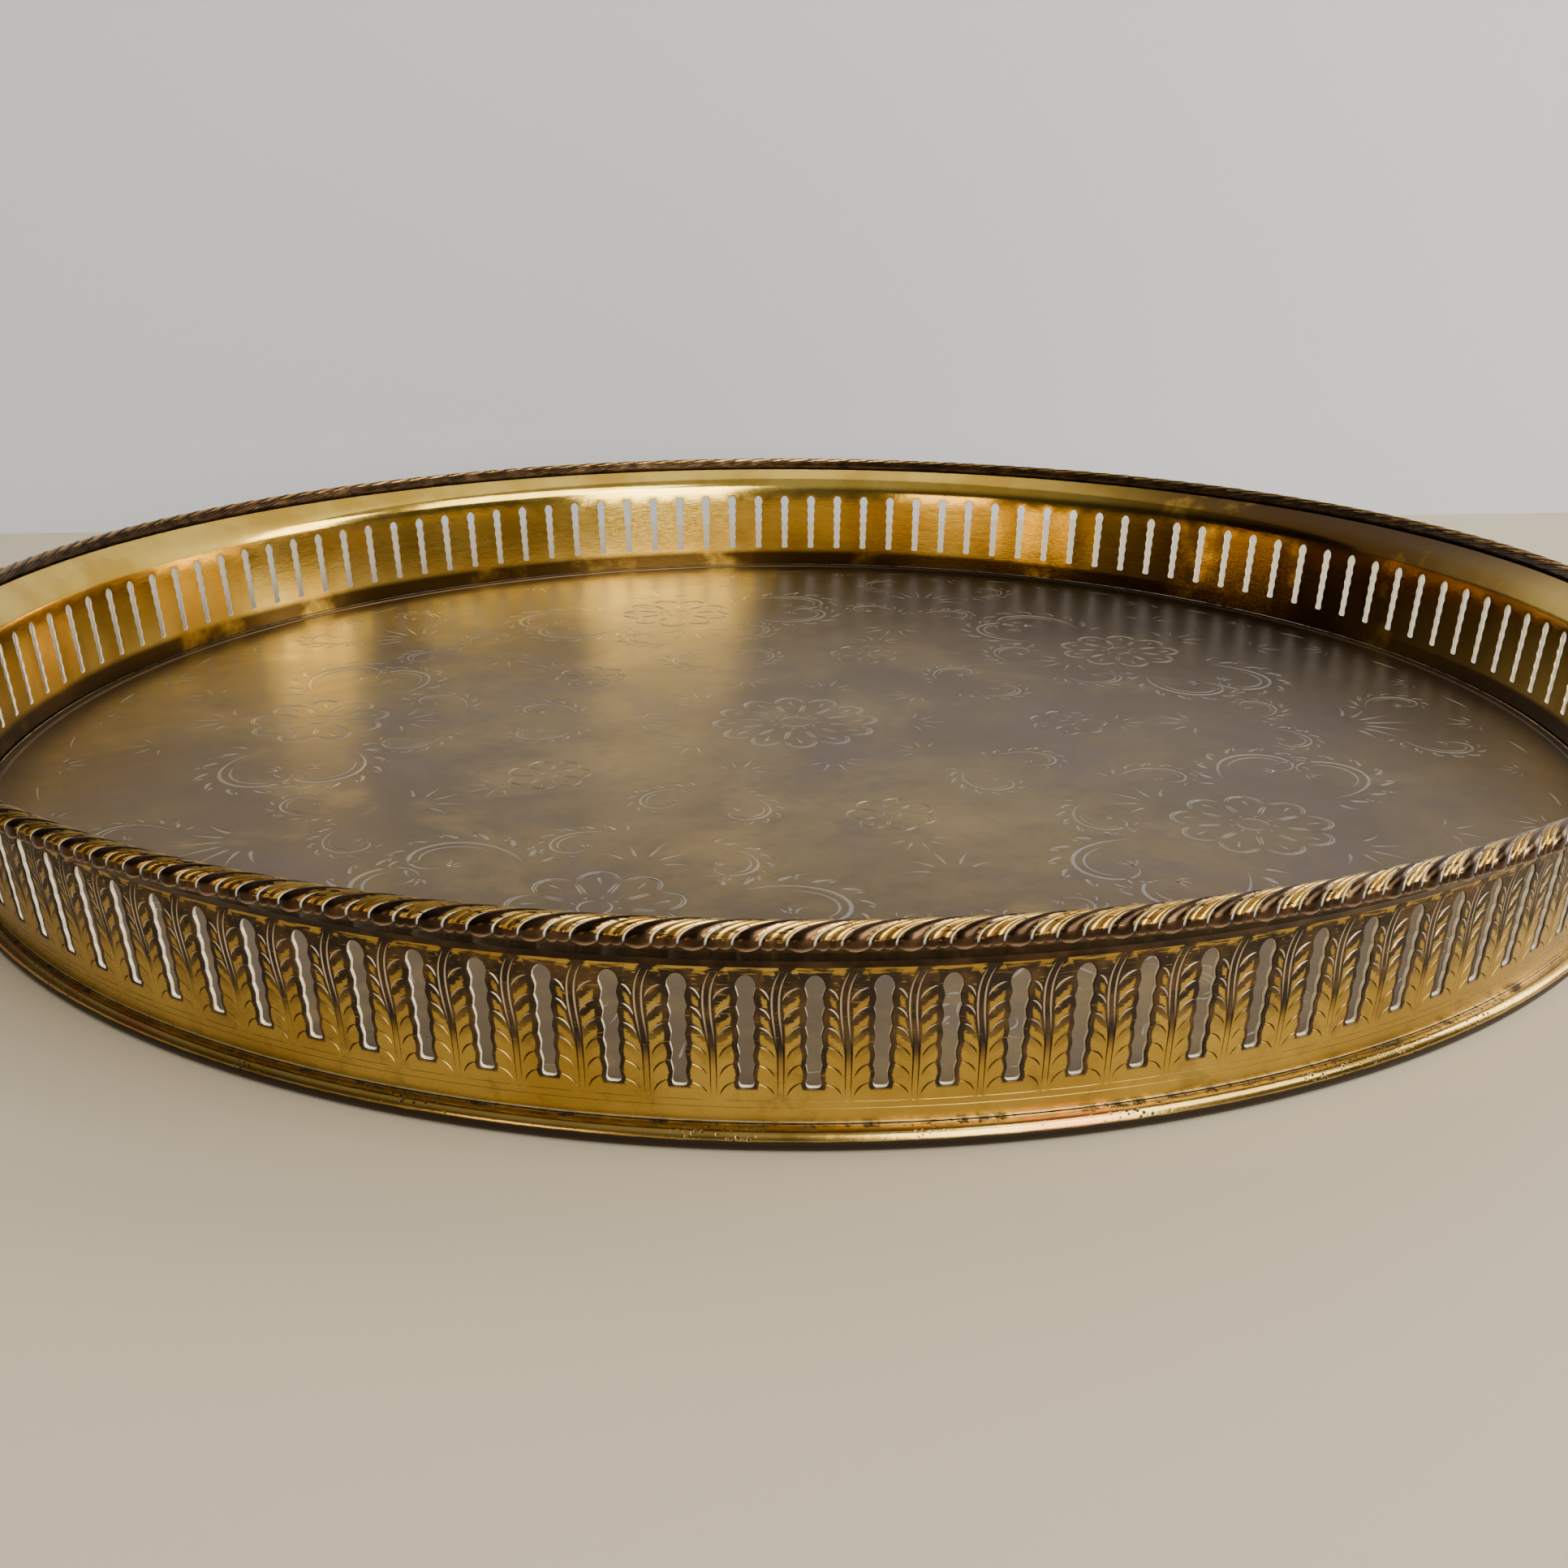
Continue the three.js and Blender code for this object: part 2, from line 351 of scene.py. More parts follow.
def pierced_gallery():
    """One pitch, with an engraved outer skin, a plain inner skin and the cut edges, all round the tray."""
    outer, outer_faces, outer_depth, outer_cut, outer_number = gallery_panel(engraved=True)
    inner, inner_faces, _, _, inner_number = gallery_panel(engraved=False)
    brink, cut_edges, _, _ = panel_outline(0.0)
    first_brink = len(outer)
    first_inner = first_brink + len(brink)
    to_outer = {n: i for i, n in enumerate(outer_number)}
    to_inner = {n: i + first_inner for i, n in enumerate(inner_number)}
    walls = []
    for i, is_cut in enumerate(cut_edges):
        j = (i + 1) % len(cut_edges)
        if is_cut:
            a, b, c, d = to_outer[i], first_brink + i, first_brink + j, to_outer[j]
            walls += [(a, b, c), (a, c, d)]
            walls += [(b, to_inner[i], to_inner[j]), (b, to_inner[j], c)]
    flat = np.concatenate([outer, brink, inner])
    depth = np.concatenate([outer_depth, np.full(len(brink), BEVEL_DEPTH), np.full(len(inner), SHEET)])
    cut = np.concatenate([outer_cut, np.zeros(len(brink) + len(inner))])
    inwards = np.repeat([0, BEVEL_DEPTH / SHEET, 1], [len(outer), len(brink), len(inner)])
    faces = np.concatenate([outer_faces, inner_faces[:, ::-1] + first_inner, np.array(walls)])
    along = flat[:, 1] - FOOT_DROP * (flat[:, 1] < 0.01)
    rise = (flat[:, 1] - SLOT_START) / SLOT_HEIGHT
    points, all_faces, uv = [], [], []
    for k in range(SLOT_COUNT):
        turn = FIRST_SLOT + math.pi + (k * PITCH + flat[:, 0]) / SLOT_RADIUS
        points.append(gallery_point(turn, along, depth))
        all_faces.append(faces + k * len(flat))
        uv.append(np.stack([k + flat[:, 0] / PITCH, rise], 1)[faces.ravel()])
    return mesh_object(
        "pierced_gallery",
        np.concatenate(points),
        np.concatenate(all_faces).tolist(),
        np.concatenate(uv),
        [("cut", np.tile(cut, SLOT_COUNT)), ("inwards", np.tile(inwards, SLOT_COUNT))],
        smooth_angle=24,
    )


# The gadroon border

# One period of the border: three narrow grooves, two ridges between them, then one broad lobe.
GROOVES = (0.0, 0.25, 0.48)
PHASES = (0.0, 0.05, 0.125, 0.20, 0.25, 0.30, 0.365, 0.43, 0.48, 0.54, 0.64, 0.76, 0.90)


def gadroon_height(phase):
    """The relief across one period, from 0 in a groove to 1 on the lobe."""
    edges = (*GROOVES, 1.0)
    crest = (0.85, 0.75, 1.0)
    for low, high, top in zip(edges, edges[1:], crest):
        if low <= phase <= high:
            share = (phase - low) / (high - low)
            floor = 0.35 if low == GROOVES[1] and share < 0.5 or high == GROOVES[1] and share > 0.5 else 0.0
            return floor + (top - floor) * math.sin(math.pi * share) ** 0.55
    return 0.0


# The rows of the roll, as angles round it: close together where the ridges end below.
ROLL_TURNS = (-112, -80, -62, -53, -46, -40, -34, -28, -22, -16, -8, 0, 9)
ROLL_TURNS += (18, 27, 36, 46, 56, 66, 78, 90, 104, 118, 134, 154, 176)


def border_section():
    """The border's closed section: rows of r, z and angle round the roll, and how many are on the roll."""
    turn = np.radians(ROLL_TURNS)
    outer = np.array(ROLL_CENTRE) + ROLL_RADIUS * np.stack([np.cos(turn), np.sin(turn)], 1)
    rows = [(r, z, a) for (r, z), a in zip(outer, ROLL_TURNS)]
    inside = arc(ROLL_CENTRE, ROLL_RADIUS - BORDER_SHEET, 176, -112, 4)
    rows += [(r, z, a) for (r, z), a in zip(inside, np.linspace(176, -112, 5))]
    cove_middle, cove_end = WALL_LENGTH + COVE_LENGTH / 2, WALL_LENGTH + COVE_LENGTH
    flange = [GALLERY_LENGTH - 1, cove_end, cove_middle, WALL_LENGTH + FLANGE_RISE]
    for stand, order in ((-FLANGE_STAND, flange[::3]), (-FLANGE_STAND - BORDER_SHEET, flange[::-1])):
        for s in order:
            x, _, z = gallery_point(0.0, s, stand)
            rows.append((x, z, -150.0))
    return np.array(rows), len(ROLL_TURNS)


PEARL_HEIGHT = 0.20


def gadroon_relief(turn, height):
    """How far the surface is sunk, in millimetres, at angles round the roll and heights across a period,
    how much of that is groove, and how much is the small pearl that each ridge ends in below."""
    end = -25 - 13 * height
    below = np.clip((turn - end) / 9, 0, 1)
    below = below * below * (3 - 2 * below)
    above = np.clip((168 - turn) / 40, 0, 1)
    pearl = PEARL_HEIGHT * height * np.exp(-(((turn - end - 11) / 7) ** 2))
    sunk = 0.24 * (1 - below) + 0.45 * below * above * (1 - height) - pearl * below
    return sunk, below * above * (1 - height) ** 1.5, (pearl / PEARL_HEIGHT) ** 2.5 * below


def gadroon_sweep(angle):
    """How far, in periods, the gadroons have swept along the border at an angle round the roll."""
    return 1.1 * max(0.0, (angle + 10) / 127) ** 2.3


def gadroon_border():
    rows, roll_rows = border_section()
    period = 2 * math.pi / GADROON_COUNT
    phase = (np.arange(GADROON_COUNT)[:, None] + np.array(PHASES)[None, :]).ravel()
    height = np.array([gadroon_height(p % 1.0) for p in phase])
    sweep = np.array([gadroon_sweep(a) for a in rows[:, 2]])
    outward = rows[:, :2] - np.array(ROLL_CENTRE)
    outward /= np.linalg.norm(outward, axis=1)[:, None]
    sunk, cut, pearl = gadroon_relief(rows[:, 2][:, None], height[None, :])
    for share in (sunk, cut, pearl):
        share[roll_rows:] = 0
    r = rows[:, 0][:, None] - outward[:, 0][:, None] * sunk
    z = rows[:, 1][:, None] - outward[:, 1][:, None] * sunk
    angle = FIRST_GADROON + (phase[None, :] + sweep[:, None]) * period
    points = round_ring(angle, r, z).reshape(-1, 3)
    row_count, column_count = r.shape
    row, column = np.meshgrid(np.arange(row_count), np.arange(column_count), indexing="ij")
    next_row = (row + 1) % row_count
    next_column = (column + 1) % column_count
    corners = [(row, column), (row, next_column), (next_row, next_column), (next_row, column)]
    faces = np.stack([(a * column_count + b).ravel() for a, b in corners], 1)
    along = np.append(phase, GADROON_COUNT)
    unrolled = np.where(next_column == 0, column_count, next_column)
    u = np.stack([along[column], along[unrolled], along[unrolled], along[column]], -1).reshape(-1, 4)
    v = np.stack([rows[a, 2] / 360 for a, _ in corners], -1).reshape(-1, 4)
    return mesh_object(
        "gadroon_strip",
        points,
        faces.tolist(),
        np.stack([u, v], -1).reshape(-1, 2),
        [("cut", cut.ravel()), ("pearl", pearl.ravel())],
        smooth_angle=60,
    )


# The engraved floor

RING_STEPS = 256
FLOOR_THICKNESS = 1.2
FLOOR_TOP = FLOOR_UNDERSIDE + FLOOR_THICKNESS
FLOOR_RIDGE = 0.35  # the low step up near the floor's edge
FLOOR_FLAT = FLOOR_EDGE - 2.0  # out to the foot of that step
ROSETTE_COUNT = 5
FIRST_ROSETTE = math.radians(-113)


def comma(start, heading, length, bend):
    """One short graver's stroke: a round head at its start and a thin tail that bends away."""
    t = np.linspace(0, 1, 6)
    turn = heading + bend * t
    steps = np.stack([np.cos(turn), np.sin(turn)], 1) * length / 5
    return np.asarray(start) + np.cumsum(steps, axis=0) - steps[0]


def rosette(size, petals):
    """The strokes of a flower: petals with a double outline and a vein, and a ring of beads round its eye.
    Each is a path, a width and whether it has a head."""
    half = math.pi / petals
    for i in range(petals):
        middle = 2 * half * i
        turn = np.radians(np.linspace(-100, 100, 9))
        for scale, width in ((1.0, 0.050), (0.84, 0.034)):
            across = 0.92 * scale * half * 0.78 * np.sin(turn)
            reach = 0.78 + 0.22 * scale * np.cos(turn)
            around = middle + across / reach
            yield size * np.stack([reach * np.cos(around), reach * np.sin(around)], 1), size * width, False
        for side in (-1, 1):
            reach = np.linspace(0.73, 0.36, 5)
            around = middle + side * half * (0.95 - 0.35 * (0.73 - reach))
            yield size * np.stack([reach * np.cos(around), reach * np.sin(around)], 1), size * 0.042, False
        vein = size * 0.86 * np.array([math.cos(middle), math.sin(middle)])
        yield comma(vein, middle + math.pi, size * 0.26, 0.4), size * 0.070, True
        bead = size * 0.30 * np.array([math.cos(middle + half), math.sin(middle + half)])
        yield comma(bead, middle + half + 2.0, size * 0.10, 1.6), size * 0.060, True
    for half_turn in (0, math.pi):
        turn = half_turn + np.linspace(0.15, math.pi - 0.15, 8)
        yield 0.19 * size * np.stack([np.cos(turn), np.sin(turn)], 1), size * 0.045, False


def scroll(size, hand):
    """A leafy scroll that sets out along x and curls to one hand, with strokes along its back."""
    s = np.linspace(0, 1, 20)
    heading = hand * (-0.35 + 4.9 * s**1.5)
    steps = np.stack([np.cos(heading), np.sin(heading)], 1) * (size * 0.115 * (1 - 0.55 * s))[:, None]
    stem = np.cumsum(steps, axis=0)
    yield stem, size * 0.042, False
    inwards = hand * np.stack([-np.sin(heading), np.cos(heading)], 1)
    yield (stem + 0.075 * size * inwards)[3:15], size * 0.026, False
    for i in range(1, 17, 2):
        fade = 1 - 0.035 * i
        start = stem[i] - 0.06 * size * inwards[i]
        stroke = comma(start, heading[i] - hand * 0.95, size * 0.34 * fade, hand * 1.1)
        yield stroke, size * 0.080 * fade, True
        start = stem[i] - 0.10 * size * inwards[i] - 0.10 * size * steps[i] / np.linalg.norm(steps[i])
        stroke = comma(start, heading[i] - hand * 1.7, size * 0.20 * fade, hand * 1.0)
        yield stroke, size * 0.065 * fade, True
    for lean in (-0.9, -0.3, 0.4):
        yield comma(stem[-1], heading[-1] + hand * lean, size * 0.15, hand * 0.8), size * 0.055, True


def spray(size, leaves):
    """A fan of strokes that springs from one point."""
    for i in range(leaves):
        lean = math.radians(125) * (i / (leaves - 1) - 0.5)
        start = 0.30 * size * np.array([math.cos(lean), math.sin(lean)])
        yield comma(start, lean * 0.8, size * (0.72 - 0.22 * abs(lean)), 0.7 * lean), size * 0.085, True


def floor_drawing():
    """The engraving on the floor: rings of flowers and scrolls, a running edge and a middle flower."""
    drawing = Drawing()
    turn = 2 * math.pi * np.arange(RING_STEPS) / RING_STEPS
    edge = FLOOR_FLAT * np.stack([np.cos(turn), np.sin(turn)], 1)
    drawing.outline = drawing.add(edge, closed=True)
    hand_drawn = np.random.default_rng(12)

    def engrave(strokes, radius, angle, turn=0.0):
        """Carries a group of strokes out along an angle round the floor, with a hand's small errors."""
        turn += hand_drawn.normal(0, 0.03)
        radius += hand_drawn.normal(0, 0.5)
        c, s = math.cos(angle + turn), math.sin(angle + turn)
        place = radius * np.array([math.cos(angle), math.sin(angle)])
        for path, width, headed in strokes:
            drawing.groove(path @ np.array([[c, s], [-s, c]]) + place, width, 0.11, headed)

    step = 2 * math.pi / ROSETTE_COUNT
    engrave(rosette(17, 12), 0, 0)
    for k in range(ROSETTE_COUNT):
        at = FIRST_ROSETTE + k * step
        middle = at + step / 2
        engrave(rosette(14, 9), 98, at)
        engrave(spray(12, 5), 114, at)
        engrave(spray(12, 5), 82, at, math.pi)
        engrave(spray(16, 7), 112, middle)
        engrave(spray(12, 5), 84, middle, math.pi)
        engrave(rosette(8, 7), 56, middle)
        engrave(spray(9, 5), 66, middle)
        engrave(spray(10, 5), 24, middle)
        engrave(spray(9, 5), 33, at, math.pi)
        for hand in (-1, 1):
            engrave(scroll(26, hand), 104, at + hand * math.radians(9.5), hand * 1.15)
            engrave(scroll(24, -hand), 90, at + hand * math.radians(10.0), hand * 1.85)
            engrave(scroll(15, hand), 96, middle + hand * math.radians(1.5), hand * 0.7)
            engrave(scroll(16, -hand), 122, middle + hand * math.radians(4), hand * 1.0)
            engrave(scroll(16, -hand), 70, at + hand * math.radians(5), hand * 1.2)
            engrave(scroll(15, -hand), 44, at + hand * math.radians(4), hand * 0.9)
            engrave(spray(9, 4), 126, at + hand * math.radians(7.5), hand * 0.4)
    for k in range(6 * ROSETTE_COUNT):
        angle = FIRST_ROSETTE + k * step / 6
        engrave(spray(8 if k % 2 else 6, 5), 143, angle, math.pi)
        engrave([(comma((0, -4.5), math.pi / 2, 9, 0.25), 0.5, False)], 144.5, angle + step / 12)
    return drawing.skin()


def engraved_floor():
    flat, top_faces, depth, cut, number = floor_drawing()
    top = np.column_stack([flat, FLOOR_TOP - depth])
    ridge = FLOOR_TOP + FLOOR_RIDGE
    rim = [(FLOOR_FLAT, FLOOR_TOP), (FLOOR_FLAT + 0.10, FLOOR_TOP + 0.22), (FLOOR_FLAT + 0.38, ridge)]
    rim += [(FLOOR_EDGE - 0.2, ridge), (FLOOR_EDGE, FLOOR_TOP + 0.1), (FLOOR_EDGE, FLOOR_UNDERSIDE)]
    turn = 2 * math.pi * np.arange(RING_STEPS) / RING_STEPS
    rings = [round_ring(turn, np.full(RING_STEPS, r), np.full(RING_STEPS, z)) for r, z in rim]
    first = len(top)
    faces = top_faces.tolist()
    for row in range(len(rim) - 1):
        low = first + row * RING_STEPS
        for i in range(RING_STEPS):
            j = (i + 1) % RING_STEPS
            faces.append((low + i, low + RING_STEPS + i, low + RING_STEPS + j, low + j))
    underside = first + (len(rim) - 1) * RING_STEPS
    faces.append(tuple(range(underside + RING_STEPS - 1, underside - 1, -1)))
    points = np.concatenate([top, *rings])
    cuts = np.concatenate([cut, np.zeros(len(points) - len(cut))])
    return mesh_object("engraved_floor", points, faces, attributes=[("cut", cuts)], smooth_angle=4)


# The base moulding


def half_round_base():
    """The ring that the tray stands on: a half-round, a flat top, and a ledge inside; its edges are eased."""
    shoulder = FLOOR_EDGE + SOLDER_GAP
    middle = shoulder + BASE_SHOULDER
    bulge = arc((middle, BASE_RADIUS), BASE_RADIUS, -88, 90, 22)
    ease = 0.1
    ledge = FLOOR_UNDERSIDE - SOLDER_GAP
    inside = shoulder - LEDGE_WIDTH
    section = [(middle - 0.4, 0), *map(tuple, bulge)]
    section += [(shoulder + ease, BASE_TOP), (shoulder, BASE_TOP - ease), (shoulder, ledge)]
    section += [(inside + ease, ledge), (inside, ledge - ease), (inside, 0)]
    return spun_ring("half_round_base", section, RING_STEPS)


# Finishes


class Finish:
    """One metal finish: a material with helpers that add its nodes."""

    def __init__(self, name):
        self.material = bpy.data.materials.new(name)
        self.material.use_nodes = True
        self.tree = self.material.node_tree
        self.shader = self.tree.nodes["Principled BSDF"]
        self.place = self.tree.nodes.new("ShaderNodeTexCoord").outputs["Object"]

    def feed(self, socket, value):
        if isinstance(value, bpy.types.NodeSocket):
            self.tree.links.new(value, socket)
        elif socket.type == "RGBA":
            socket.default_value = (*value, 1.0)
        else:
            socket.default_value = value

    def calculate(self, operation, *values, clamp=False):
        """One Math node."""
        node = self.tree.nodes.new("ShaderNodeMath")
        node.operation = operation
        node.use_clamp = clamp
        for socket, value in zip(node.inputs, values):
            self.feed(socket, value)
        return node.outputs[0]

    def add(self, first, second):
        return self.calculate("ADD", first, second)

    def less(self, first, second):
        return self.calculate("SUBTRACT", first, second)

    def times(self, first, second):
        return self.calculate("MULTIPLY", first, second)

    def most(self, first, second):
        return self.calculate("MAXIMUM", first, second)

    def step(self, value, low, high):
        """0 below low, 1 above high, with a soft step between; high may be the lower number."""
        node = self.tree.nodes.new("ShaderNodeMapRange")
        node.interpolation_type = "SMOOTHSTEP"
        for name, number in (("Value", value), ("From Min", low), ("From Max", high)):
            self.feed(node.inputs[name], number)
        return node.outputs["Result"]

    def mix(self, share, first, second):
        """One colour mixed into another."""
        node = self.tree.nodes.new("ShaderNodeMix")
        node.data_type = "RGBA"
        colour_sockets = [socket for socket in node.inputs if socket.type == "RGBA"]
        self.feed(node.inputs["Factor"], share)
        for socket, colour in zip(colour_sockets, (first, second)):
            self.feed(socket, colour)
        return next(socket for socket in node.outputs if socket.type == "RGBA")

    def noise(self, scale, detail=3.0, roughness=0.55, place=None, warp=0.0):
        node = self.tree.nodes.new("ShaderNodeTexNoise")
        self.feed(node.inputs["Vector"], self.place if place is None else place)
        settings = {"Scale": scale, "Detail": detail, "Roughness": roughness, "Distortion": warp}
        for name, number in settings.items():
            node.inputs[name].default_value = number
        return node.outputs["Fac"]

    def specks(self, scale, place=None):
        """The distance to the nearest of scattered points."""
        node = self.tree.nodes.new("ShaderNodeTexVoronoi")
        self.feed(node.inputs["Vector"], self.place if place is None else place)
        node.inputs["Scale"].default_value = scale
        return node.outputs["Distance"]

    def attribute(self, name):
        node = self.tree.nodes.new("ShaderNodeAttribute")
        node.attribute_name = name
        return node.outputs["Fac"]

    def pattern(self):
        """The piece's own pattern coordinates, along and up."""
        node = self.tree.nodes.new("ShaderNodeUVMap")
        node.uv_map = "pattern"
        split = self.tree.nodes.new("ShaderNodeSeparateXYZ")
        self.tree.links.new(node.outputs["UV"], split.inputs[0])
        return split.outputs["X"], split.outputs["Y"]

    def split(self):
        """The place's x, y and z, in metres."""
        node = self.tree.nodes.new("ShaderNodeSeparateXYZ")
        self.feed(node.inputs[0], self.place)
        return node.outputs["X"], node.outputs["Y"], node.outputs["Z"]

    def join(self, x, y, z):
        node = self.tree.nodes.new("ShaderNodeCombineXYZ")
        for socket, value in zip(node.inputs, (x, y, z)):
            self.feed(socket, value)
        return node.outputs[0]

    def bump(self, height, depth, strength=1.0):
        """Fine relief, with its depth in millimetres."""
        node = self.tree.nodes.new("ShaderNodeBump")
        node.inputs["Strength"].default_value = strength
        node.inputs["Distance"].default_value = depth * MM
        self.feed(node.inputs["Height"], height)
        self.feed(self.shader.inputs["Normal"], node.outputs["Normal"])

    def finish(self, colour, roughness, metallic):
        for name, value in (("Base Color", colour), ("Roughness", roughness), ("Metallic", metallic)):
            self.feed(self.shader.inputs[name], value)
        return self.material


GOLD = (0.35, 0.205, 0.024)
PALE_GOLD = (0.46, 0.295, 0.048)
BROWN = (0.022, 0.013, 0.006)
UMBER = (0.085, 0.045, 0.014)
GROOVE_RESIDUE_AND_HIGHLIGHT = (0.70, 0.72, 0.68)
DARK_LINE = (0.030, 0.016, 0.005)
PALE_LINE = (0.62, 0.50, 0.33)
CLEAN_FOOT = (0.80, 0.62, 0.30)
SAWN_EDGE = (0.78, 0.70, 0.52)
INNER_GOLD = (0.60, 0.37, 0.055)
INNER_PALE_GOLD = (0.80, 0.56, 0.12)


def right_rear(f, low, high):
    """How far towards the tray's right rear side a place is, from 0 to 1; that side is painted darker, as
    shade.
    """
    x, y, _ = f.split()
    across = f.add(f.times(x, 0.9), f.times(y, 0.44))
    return f.step(across, low, high)


def inner_painted_shade(f, inwards):
    """Painted shade and dark reflection inside the gallery: all over its right rear side, and along its foot
    elsewhere, where the inner wall reflects the dark floor.
    """
    side = right_rear(f, 0.118, 0.160)
    _, _, height = f.split()
    low = f.times(f.step(height, 0.0080, 0.0062), 0.95)
    inside = f.step(inwards, 0.90, 0.99)
    return f.times(f.most(side, low), inside)


def gallery_finish():
    """Gold leaf panels between dark engraved stems and slot edges, darker in the upper half."""
    f = Finish("gallery_brass")
    u, v = f.pattern()
    here = f.calculate("FRACT", u)
    from_slot = f.times(f.calculate("MINIMUM", here, f.less(1.0, here)), PITCH)
    streaks = f.noise(1.0, 4, 0.6, f.join(f.times(u, 2.2), f.times(v, 46.0), 0.0))
    blotch = f.noise(1.0, 3, 0.6, f.join(f.times(u, 3.1), f.times(v, 7.0), 3.0))
    ragged = f.less(streaks, 0.5)
    # The slot's edge at this height, then the distance to it.
    rise = f.times(v, SLOT_HEIGHT)
    wave = f.calculate("DIVIDE", f.less(rise, FIRST_NOTCH), NOTCH_STEP)
    edge = f.add(SLOT_HALF, f.times(wave, SLOT_SPREAD))
    scallop = f.calculate("ABSOLUTE", f.calculate("SINE", f.times(wave, math.pi)))
    edge = f.less(edge, f.times(scallop, 0.26))
    beside = f.less(from_slot, edge)
    in_rows = f.times(f.step(v, -0.03, 0.0), f.step(v, 1.03, 1.0))
    upper = f.step(f.add(v, f.times(ragged, 0.5)), 0.10, 0.68)
    rim_width = f.add(0.70, f.times(upper, 0.32))
    off_rim = f.add(beside, f.times(ragged, 0.6))
    rim = f.step(off_rim, rim_width, f.times(rim_width, 0.75))
    rim = f.times(rim, f.step(v, -0.03, 0.0))
    rim = f.times(rim, f.step(f.add(v, f.times(ragged, 0.25)), 1.07, 1.03))
    # The stem stands at this place across the pitch.
    bend = f.calculate("DIVIDE", f.less(v, BEND_START), BEND_RISE, clamp=True)
    bend = f.calculate("POWER", bend, BEND_POWER)
    lean = f.times(f.step(v, LEAN_START, LEAN_END), STEM_LEAN)
    stem = f.add(f.less(STEM_FOOT, lean), f.times(bend, STEM_BEND))
    off_stem = f.times(f.calculate("ABSOLUTE", f.less(here, stem)), PITCH)
    stem_width = f.add(0.30, f.times(upper, 0.80))
    tatter = f.add(0.6, f.times(f.step(v, 0.9, 1.0), 2.0))
    off_stalk = f.add(off_stem, f.times(ragged, tatter))
    stalk = f.step(off_stalk, stem_width, f.times(stem_width, 0.75))
    stalk = f.times(stalk, f.step(v, 0.10, 0.38))
    # Between two veins a leaf drops towards the stem, so its dark root follows the veins.
    to_stem = f.calculate("DIVIDE", beside, 2.1, clamp=True)
    leaf = f.calculate("FRACT", f.add(wave, f.times(f.calculate("POWER", to_stem, 1.6), 0.72)))
    leaf = f.add(leaf, f.times(ragged, 0.7))
    root = f.most(f.step(leaf, 0.40, 0.24), f.step(leaf, 0.72, 0.86))
    root = f.times(root, f.times(in_rows, f.step(v, 0.15, 0.60)))
    top = f.times(f.step(v, 0.74, 0.90), f.step(f.add(ragged, f.times(blotch, 0.6)), 0.50, 0.40))
    top = f.times(top, f.step(f.add(v, f.times(ragged, 0.35)), 1.03, 0.98))
    lip = f.step(v, 1.085, 1.10)
    dark = f.most(f.most(rim, stalk), f.most(root, top))
    dark = f.times(dark, f.step(streaks, 0.22, 0.40))
    spots = f.times(f.step(f.specks(95.0), 0.10, 0.05), f.step(f.noise(38.0), 0.56, 0.66))
    dark = f.most(dark, f.most(spots, lip))
    inwards = f.attribute("inwards")
    dark = f.times(dark, f.step(inwards, 0.34, 0.27))
    # Engraved lines: pale where they cross the dark patina, dark where they cross the gold.
    cut = f.step(f.attribute("cut"), 0.10, 0.55)
    cloudy = f.noise(55.0, 4, 0.6)
    gold = f.mix(f.step(cloudy, 0.35, 0.68), GOLD, PALE_GOLD)
    gold = f.mix(f.times(f.step(f.noise(190.0, 3, 0.7), 0.52, 0.72), 0.35), gold, UMBER)
    brown = f.mix(f.step(f.noise(240.0, 3), 0.4, 0.7), BROWN, UMBER)
    colour = f.mix(dark, gold, brown)
    line = f.mix(f.step(v, 0.30, 0.62), DARK_LINE, PALE_LINE)
    colour = f.mix(f.times(cut, 0.9), colour, line)
    foot_edge = f.times(f.step(v, -0.285, -0.295), f.step(streaks, 0.3, 0.5))
    colour = f.mix(foot_edge, colour, CLEAN_FOOT)
    sawn = f.times(f.step(inwards, 0.22, 0.32), f.step(inwards, 0.98, 0.85))
    colour = f.mix(sawn, colour, SAWN_EDGE)
    inside = f.step(inwards, 0.90, 0.99)
    inner = f.mix(f.step(cloudy, 0.35, 0.68), INNER_GOLD, INNER_PALE_GOLD)
    colour = f.mix(inside, colour, inner)
    # Painted shade: the inside is darkened on its right rear side and along its foot, standing for shadow and
    # the dark floor's reflection.
    painted_shade_share = f.times(inner_painted_shade(f, inwards), f.step(cloudy, 0.20, 0.45))
    colour = f.mix(painted_shade_share, colour, (0.060, 0.030, 0.008))
    roughness = f.add(0.20, f.times(dark, 0.22))
    roughness = f.add(roughness, f.times(streaks, 0.16))
    roughness = f.less(roughness, f.times(inside, 0.15))
    roughness = f.add(roughness, f.times(sawn, 0.15))
    f.bump(f.add(f.times(streaks, 0.5), f.times(f.noise(900.0, 2), 0.5)), 0.018)
    metal = f.less(0.78, f.times(dark, 0.1))
    metal = f.most(metal, inside)
    return f.finish(colour, roughness, f.less(metal, f.times(sawn, 0.6)))


